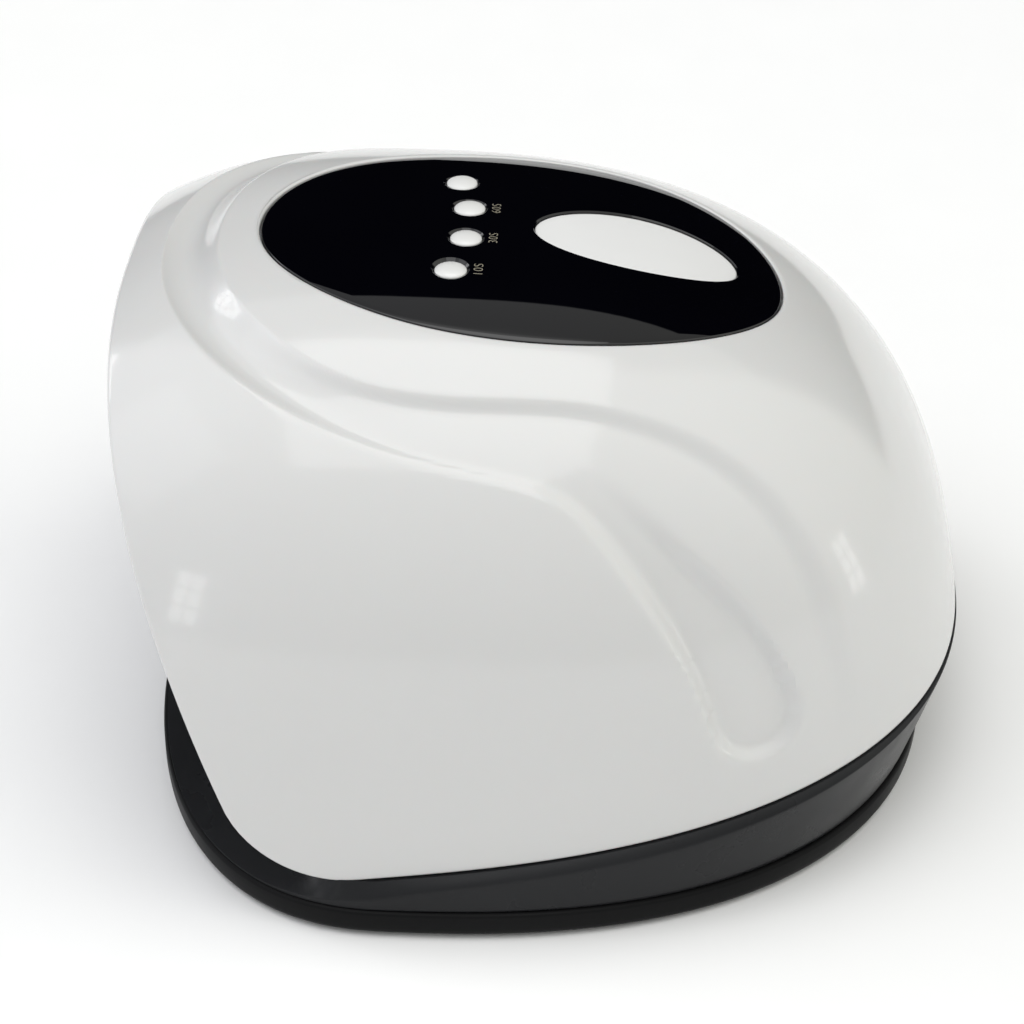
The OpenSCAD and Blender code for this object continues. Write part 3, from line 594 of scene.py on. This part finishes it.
def surface(name, colour, roughness, tint=0.03, tint_scale=18.0, wear=0.04, wear_scale=60.0,
            grain=0.02, grain_scale=900.0, grain_depth=0.00002, coat=0.0, metallic=0.0,
            specular=0.5, subsurface=0.0, transmission=0.0, coat_roughness=0.05):
    """Plastic, rubber or metal with drifting tint, uneven gloss and a fine grain."""
    mat = bpy.data.materials.new(name)
    mat.use_nodes = True
    tree = mat.node_tree
    bsdf = tree.nodes["Principled BSDF"]
    bsdf.inputs["Metallic"].default_value = metallic
    bsdf.inputs["Coat Weight"].default_value = coat
    bsdf.inputs["Coat Roughness"].default_value = coat_roughness
    bsdf.inputs["Specular IOR Level"].default_value = specular
    bsdf.inputs["Subsurface Weight"].default_value = subsurface
    bsdf.inputs["Subsurface Scale"].default_value = 0.002
    bsdf.inputs["Transmission Weight"].default_value = transmission
    place = tree.nodes.new("ShaderNodeTexCoord")

    def noise(scale, detail):
        n = node(tree, "ShaderNodeTexNoise", Scale=scale, Detail=detail)
        tree.links.new(place.outputs["Object"], n.inputs["Vector"])
        return n.outputs["Fac"]

    ramp = tree.nodes.new("ShaderNodeValToRGB")
    ramp.color_ramp.elements[0].position = 0.3
    ramp.color_ramp.elements[1].position = 0.7
    ramp.color_ramp.elements[0].color = (*[c * (1 - tint) for c in colour], 1)
    ramp.color_ramp.elements[1].color = (*[min(1, c * (1 + tint)) for c in colour], 1)
    tree.links.new(noise(tint_scale, 3), ramp.inputs["Fac"])
    tree.links.new(ramp.outputs["Color"], bsdf.inputs["Base Color"])

    spread = tree.nodes.new("ShaderNodeMapRange")
    spread.inputs["From Min"].default_value = 0.3
    spread.inputs["From Max"].default_value = 0.7
    spread.inputs["To Min"].default_value = max(0.01, roughness - wear)
    spread.inputs["To Max"].default_value = roughness + wear
    tree.links.new(noise(wear_scale, 4), spread.inputs["Value"])
    tree.links.new(spread.outputs["Result"], bsdf.inputs["Roughness"])

    bump = node(tree, "ShaderNodeBump", Strength=grain, Distance=grain_depth)
    tree.links.new(noise(grain_scale, 2), bump.inputs["Height"])
    tree.links.new(bump.outputs["Normal"], bsdf.inputs["Normal"])
    return mat


def paint(obj, mat):
    obj.data.materials.clear()
    obj.data.materials.append(mat)


gloss_white = surface("moulded_white_gloss", (0.64, 0.64, 0.635), 0.13, tint=0.006, wear=0.03,
                      wear_scale=35, grain=0.25, grain_scale=260, grain_depth=0.00003,
                      coat=0.35, coat_roughness=0.04, subsurface=0.04)
gloss_black = surface("panel_black_gloss", (0.0009, 0.0009, 0.002), 0.022, tint=0.2, wear=0.008,
                      wear_scale=45, grain=0.12, grain_scale=190, grain_depth=0.00002)
window_grey = surface("window_light_grey", (0.80, 0.80, 0.795), 0.22, tint=0.02, wear=0.03,
                      grain=0.2, grain_scale=500, grain_depth=0.00002, coat=0.3)
button_white = surface("button_white_gloss", (0.74, 0.74, 0.73), 0.16, tint=0.01, wear=0.03,
                       grain=0.2, grain_scale=700, grain_depth=0.00002, coat=0.3)
satin_black = surface("base_black_satin", (0.016, 0.0165, 0.018), 0.3, tint=0.12, wear=0.06,
                      wear_scale=70, grain=0.5, grain_scale=2600, grain_depth=0.00004,
                      specular=0.14)
tray_black = surface("tray_black_satin", (0.006, 0.0061, 0.0065), 0.42, tint=0.12, wear=0.06,
                     wear_scale=70, grain=0.5, grain_scale=2600, grain_depth=0.00004,
                     specular=0.08)
inner_black = surface("inner_black_matt", (0.02, 0.02, 0.021), 0.55, tint=0.1, grain=0.5,
                      grain_scale=2600, grain_depth=0.00004)
metallised = surface("liner_metallised", (0.72, 0.73, 0.75), 0.2, tint=0.03, wear=0.05,
                     grain=0.3, grain_scale=300, grain_depth=0.00005, metallic=0.85)
lamp_clear = surface("lamp_lens", (0.82, 0.83, 0.95), 0.08, tint=0.03, grain=0.1,
                     transmission=0.5, coat=0.4)
board_green = surface("board_green", (0.02, 0.12, 0.05), 0.35, tint=0.2, tint_scale=300,
                      grain=0.4, grain_scale=1500, grain_depth=0.00005, coat=0.3)
module_grey = surface("module_grey", (0.6, 0.61, 0.62), 0.4, tint=0.05)
rubber_black = surface("foot_rubber", (0.02, 0.02, 0.02), 0.75, tint=0.15, grain=0.8,
                       grain_scale=1800, grain_depth=0.0001)
screw_steel = surface("screw_steel", (0.5, 0.51, 0.53), 0.3, tint=0.08, wear=0.1, grain=0.4,
                      grain_scale=2500, grain_depth=0.00003, metallic=1.0)
label_grey = surface("label_print", (0.24, 0.22, 0.17), 0.4, tint=0.1)

looks = {
    "shell_white": gloss_white, "panel_black": gloss_black, "window_grey": window_grey,
    "button_white": button_white, "base_black": satin_black, "inner_black": inner_black,
    "module_grey": module_grey, "liner_silver": metallised, "lamp_clear": lamp_clear,
    "board_green": board_green, "foot_rubber": rubber_black, "screw_steel": screw_steel,
}
for part in frame["record"]["subparts"]:
    cad = frame["nodes"][part["node"]]
    paint(cad, looks[part["material_slot"]])

# --- pieces that stand for CAD nodes ---

shell = shell_mesh()
paint(shell, gloss_white)
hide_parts("upper_shell")

band = band_mesh()
slots = [bar(INLET_HOLE_R, *BACK_CUT_Y, INLET_Z)]
for side in (-1, 1):
    for i in range(VENT_COUNT):
        x = side * (VENT_FIRST + i * VENT_PITCH)
        slots.append(block((x - VENT_HALF, BACK_CUT_Y[0], VENT_Z[0]),
                           (x + VENT_HALF, BACK_CUT_Y[1], VENT_Z[1])))
cut(band, slots)
paint(band, satin_black)
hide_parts("lower_housing")

tray = tray_mesh()
paint(tray, tray_black)
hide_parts("base_tray")

panel = oval_plate("panel_plate", PANEL_Y, PANEL_HALF_W - PANEL_GAP, PANEL_HALF_L - PANEL_GAP,
                   PANEL_SINK, PANEL_T, PANEL_EDGE_R)
button_at = {
    "button_10": BUTTON_OUTER,
    "button_30": BUTTON_INNER,
    "button_60": (-BUTTON_INNER[0], BUTTON_INNER[1]),
    "button_mode": (-BUTTON_OUTER[0], BUTTON_OUTER[1]),
}

holes = []
for name, (x, y) in button_at.items():
    z = panel_z(x, y)
    r = BUTTON_HOLE_R
    c = BUTTON_CHAMFER
    holes.append(lathe("hole", [(0, z - 6), (r, z - 6), (r, z - c), (r + 2 * c, z + c),
                                (r + 2 * c, z + 2), (0, z + 2)], (x, y)))

hole_az = all_round(OVAL_TURNS)


def window_rim(wider, z=None):
    """Rim of the window's hole; without a z it follows the panel, and climbs as it widens."""
    x, y = on_plan(hole_az, oval_r(hole_az, WINDOW_HALF_W, WINDOW_HALF_L) + wider, WINDOW_Y)
    if z is None:
        z = dome_top(x, y) - PANEL_SINK + wider - WINDOW_CHAMFER
    return np.stack([x, y, z + 0 * x], -1)


window_z = panel_z(0.0, WINDOW_Y)
flare = 2 * WINDOW_CHAMFER
rims = [window_rim(0, window_z - 15), window_rim(-0.001), window_rim(flare),
        window_rim(flare, window_z + 9)]
holes.append(add_mesh("window_hole", np.concatenate(rims), prism_faces(len(rims), OVAL_TURNS)))
cut(panel, holes)
paint(panel, gloss_black)
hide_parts("control_panel")

window = oval_plate("window_lens", WINDOW_Y, WINDOW_HALF_W - WINDOW_GAP, WINDOW_HALF_L - WINDOW_GAP,
                    PANEL_SINK + WINDOW_SINK, PANEL_T - WINDOW_SINK + 0.3, WINDOW_EDGE_R, rings=14)
paint(window, window_grey)
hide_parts("display_window")

for name, (x, y) in button_at.items():
    crown = panel_z(x, y) + CAP_RISE
    under = panel_z(x, y) - PANEL_T - CAP_ROOM
    flange_r = CAP_R + CAP_FLANGE
    profile = [(0, under - CAP_STEM), (CAP_STEM_R, under - CAP_STEM),
               (CAP_STEM_R, under - CAP_FLANGE), (flange_r, under - CAP_FLANGE),
               (flange_r, under), (CAP_R, under)]
    for a in np.radians(np.linspace(0, 90, 14)):
        profile.append((CAP_R * math.cos(a), crown - CAP_CROWN + CAP_CROWN * math.sin(a)))
    profile[-1] = (0, crown)
    cap = lathe(name + "_cap", profile, (x, y), body=name)
    paint(cap, button_white)
    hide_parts(name)


# --- printed times beside three of the buttons ---


def label(words, x, y):
    """Flat letters laid on the panel; they read from behind the dryer."""
    curve = bpy.data.curves.new("label", "FONT")
    curve.body = words
    curve.size = LABEL_SIZE
    curve.offset = LABEL_THIN
    curve.space_character = LABEL_SPACE
    curve.align_x = "CENTER"
    curve.align_y = "CENTER"
    curve.resolution_u = 6
    source = bpy.data.objects.new("label_source", curve)
    bpy.context.scene.collection.objects.link(source)
    bpy.context.view_layer.update()
    depsgraph = bpy.context.evaluated_depsgraph_get()
    mesh = bpy.data.meshes.new_from_object(source.evaluated_get(depsgraph))
    bpy.data.objects.remove(source)
    bm = bmesh.new()
    bm.from_mesh(mesh)
    bmesh.ops.triangulate(bm, faces=bm.faces)
    bm.to_mesh(mesh)
    bm.free()
    points = []
    for v in mesh.vertices:
        px, py = x - v.co.x, y - v.co.y
        points.append([px, py, panel_z(px, py) + LABEL_LIFT])
    for v, p in zip(mesh.vertices, to_frame(points)):
        v.co = p
    obj = bpy.data.objects.new("label_" + words.lower(), mesh)
    bpy.context.scene.collection.objects.link(obj)
    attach(obj, HOUSING)
    paint(obj, label_grey)


for name, words in (("button_10", "10S"), ("button_30", "30S"), ("button_60", "60S")):
    x, y = button_at[name]
    label(words, x + LABEL_AT[0], y + LABEL_AT[1])

# --- floor and lights, in metres, and camera ---

FLOOR_HALF = 6.0
floor_mesh = bpy.data.meshes.new("floor")
corners = [(sx * FLOOR_HALF, sy * FLOOR_HALF, 0) for sx, sy in ((-1, -1), (1, -1), (1, 1), (-1, 1))]
floor_mesh.from_pydata(corners, [], [(0, 1, 2, 3)])
floor = bpy.data.objects.new("floor", floor_mesh)
bpy.context.scene.collection.objects.link(floor)
floor_mesh.materials.append(surface("floor_pale", (0.93, 0.93, 0.93), 0.7, tint=0.004, grain=0.05))


# The lights aim at the middle of the dryer
MIDDLE = Vector((0, 0, 0.06))


def softbox(name, place, size, power):
    data = bpy.data.lights.new(name, "AREA")
    data.shape = "RECTANGLE"
    data.size, data.size_y = size
    data.energy = power
    lamp = bpy.data.objects.new(name, data)
    lamp.location = place
    lamp.rotation_euler = (MIDDLE - Vector(place)).to_track_quat("-Z", "Y").to_euler()
    bpy.context.scene.collection.objects.link(lamp)


softbox("key_front", (0.35, -1.35, 1.25), (1.1, 0.9), 1.2)
softbox("overhead", (0.2, 0.0, 1.7), (1.1, 1.6), 6.5)

# Brightness of the room towards the front, the back, the top and the right
ROOM_FRONT = 1.0
ROOM_BACK = 0.85
ROOM_TOP = 0.6
ROOM_RIGHT = 0.5
# On the left, a dark wall up to a slope of WALL_SLOPE, and a dim ceiling over it
WALL_LEVEL = 0.004
WALL_SLOPE = 1.22
CEILING_LEVEL = 0.42
TINT_FRONT = (0.945, 0.957, 1.0, 1)
TINT_BACK = (1.0, 1.0, 0.935, 1)


def room_light():
    """Soft light from all round, with a dark wall and a dim ceiling for the panel to mirror."""
    world = bpy.data.worlds.new("studio")
    world.use_nodes = True
    tree = world.node_tree
    place = tree.nodes.new("ShaderNodeTexCoord")
    parts = tree.nodes.new("ShaderNodeSeparateXYZ")
    tree.links.new(place.outputs["Generated"], parts.inputs["Vector"])

    def math_node(operation, a, b=None):
        n = tree.nodes.new("ShaderNodeMath")
        n.operation = operation
        for i, v in enumerate((a, b)):
            if v is None:
                continue
            if isinstance(v, (int, float)):
                n.inputs[i].default_value = v
            else:
                tree.links.new(v, n.inputs[i])
        return n.outputs[0]

    def ramp(value, low, high, out_low=0.0, out_high=1.0):
        n = tree.nodes.new("ShaderNodeMapRange")
        n.interpolation_type = "SMOOTHSTEP"
        n.inputs["From Min"].default_value = low
        n.inputs["From Max"].default_value = high
        n.inputs["To Min"].default_value = out_low
        n.inputs["To Max"].default_value = out_high
        tree.links.new(value, n.inputs["Value"])
        return n.outputs["Result"]

    x, y, z = (parts.outputs[k] for k in "XYZ")
    across = math_node("SQRT", math_node("ADD", math_node("MULTIPLY", x, x),
                                         math_node("MULTIPLY", y, y)))
    left = math_node("MULTIPLY", x, -1.0)
    bearing = ramp(math_node("DIVIDE", left, across), 0.5, 0.72)
    under = math_node("SUBTRACT", math_node("MULTIPLY", left, WALL_SLOPE), z)
    wall = math_node("MULTIPLY", bearing, ramp(under, -0.012, 0.012))
    ceiling = math_node("MULTIPLY", bearing, ramp(z, 0.86, 0.97, 1.0, 0.0))
    level = math_node("ADD", ramp(y, -1.0, 1.0, ROOM_FRONT, ROOM_BACK),
                      ramp(z, 0.0, 1.0, 0.0, ROOM_TOP))
    level = math_node("MULTIPLY", level, ramp(x, 0.0, 0.8, 1.0, ROOM_RIGHT))
    level = math_node("MULTIPLY", level, ramp(ceiling, 0.0, 1.0, 1.0, CEILING_LEVEL))
    level = math_node("MULTIPLY", level, ramp(wall, 0.0, 1.0, 1.0, WALL_LEVEL))
    tree.links.new(level, tree.nodes["Background"].inputs["Strength"])
    tint = tree.nodes.new("ShaderNodeValToRGB")
    tint.color_ramp.elements[0].color = TINT_FRONT
    tint.color_ramp.elements[1].color = TINT_BACK
    tree.links.new(ramp(y, -1.0, 1.0), tint.inputs["Fac"])
    tree.links.new(tint.outputs["Color"], tree.nodes["Background"].inputs["Color"])
    return world


PANE_AWAY = 2.2
PANE = (0.11, 0.15)
PANE_GAP = 0.03


def window_panes(name, bearing, height, columns, rows, radiance):
    """A far window of lit panes; its bearing turns from the front towards the right."""
    b, h = math.radians(bearing), math.radians(height)
    out = Vector((math.sin(b) * math.cos(h), -math.cos(b) * math.cos(h), math.sin(h)))
    side = Vector((math.cos(b), math.sin(b), 0))
    rise = side.cross(out)
    if rise.z < 0:
        rise = -rise
    for i in range(columns):
        for j in range(rows):
            place = (MIDDLE + out * PANE_AWAY
                     + side * (i - (columns - 1) / 2) * (PANE[0] + PANE_GAP)
                     + rise * (j - (rows - 1) / 2) * (PANE[1] + PANE_GAP))
            softbox("%s_%d%d" % (name, i, j), place, PANE, radiance * math.pi * PANE[0] * PANE[1])


bpy.context.scene.world = room_light()
bpy.context.scene.view_settings.view_transform = "Standard"
window_panes("window_front", 54, 9, 2, 3, radiance=2.6)
window_panes("window_back", 177, 5, 2, 3, radiance=2.2)
window_panes("window_left", -24, 24, 4, 3, radiance=3.0)

# The camera was fitted to the photograph's outlines; its places are in the dome's millimetres
CAMERA_AT = np.array([488.12, 39.2, 380.94])
CAMERA_AIM = np.array([7.99, 23.01, 49.12])
CAMERA_ROLL = math.radians(1.155)
CAMERA_LENS = 88.155

camera_data = bpy.data.cameras.new("camera")
camera_data.lens = CAMERA_LENS
camera_data.sensor_width = 36
camera = bpy.data.objects.new("camera", camera_data)
forward = unit(CAMERA_AIM - CAMERA_AT)
level = unit(np.cross(forward, [0, 0, 1]))
upright = np.cross(level, forward)
right = level * math.cos(CAMERA_ROLL) + upright * math.sin(CAMERA_ROLL)
up = upright * math.cos(CAMERA_ROLL) - level * math.sin(CAMERA_ROLL)
turn = Matrix([(right[i], up[i], -forward[i]) for i in range(3)]).to_4x4()
camera.matrix_world = Matrix.Translation(to_frame(CAMERA_AT)) @ turn
bpy.context.scene.collection.objects.link(camera)
bpy.context.scene.camera = camera
